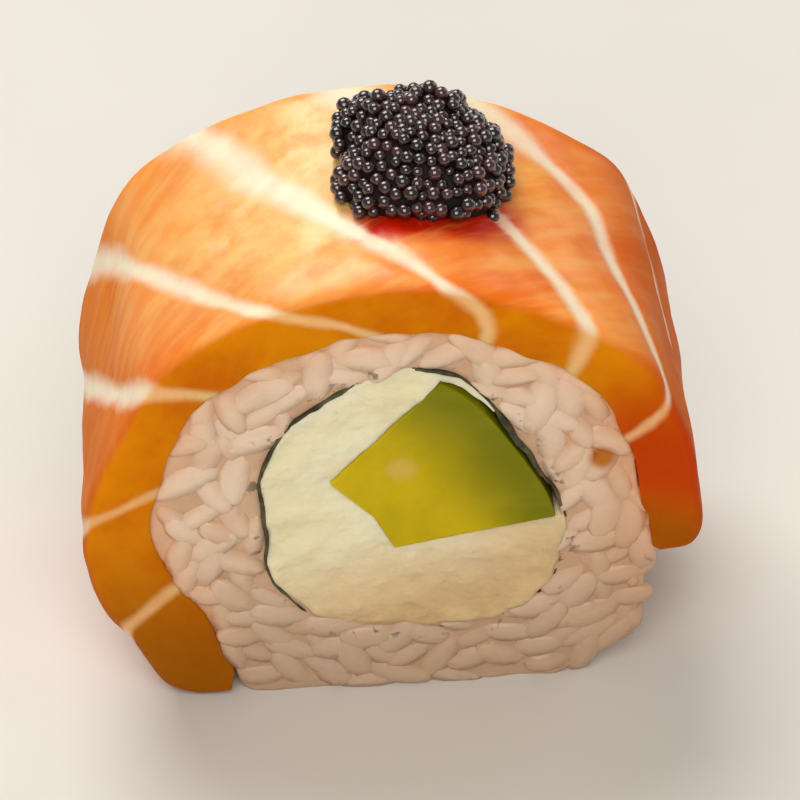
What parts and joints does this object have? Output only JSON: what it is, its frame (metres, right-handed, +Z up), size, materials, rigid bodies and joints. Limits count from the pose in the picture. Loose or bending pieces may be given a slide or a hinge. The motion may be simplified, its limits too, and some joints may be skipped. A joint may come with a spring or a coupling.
{
  "type": "salmon sushi roll piece",
  "caption": "Cut piece of a sushi roll: rice round nori, cream cheese and avocado, draped with a slice of salmon and topped with black roe.",
  "frame": {"origin": "middle of the bounding box's bottom face, on the surface that the piece stands on", "axes": "+Y along the roll's own axis, from the front cut to the back cut; +X to the right seen from the front cut; +Z up"},
  "size_m": [0.046, 0.0234, 0.0449],
  "materials": {
    "salmon": "moist raw fish, glossy",
    "rice": "cooked rice, satin",
    "nori": "moist seaweed sheet, matt",
    "cream_cheese": "soft cheese, satin",
    "avocado": "cut fruit, satin",
    "black_roe": "wet fish eggs, glossy"
  },
  "bodies": {
    "root": {"salmon_slice": "salmon", "rice_ring": "rice", "nori_sheet": "nori", "cream_cheese": "cream_cheese", "avocado_strip": "avocado", "black_roe": "black_roe"}
  },
  "joints": []
}
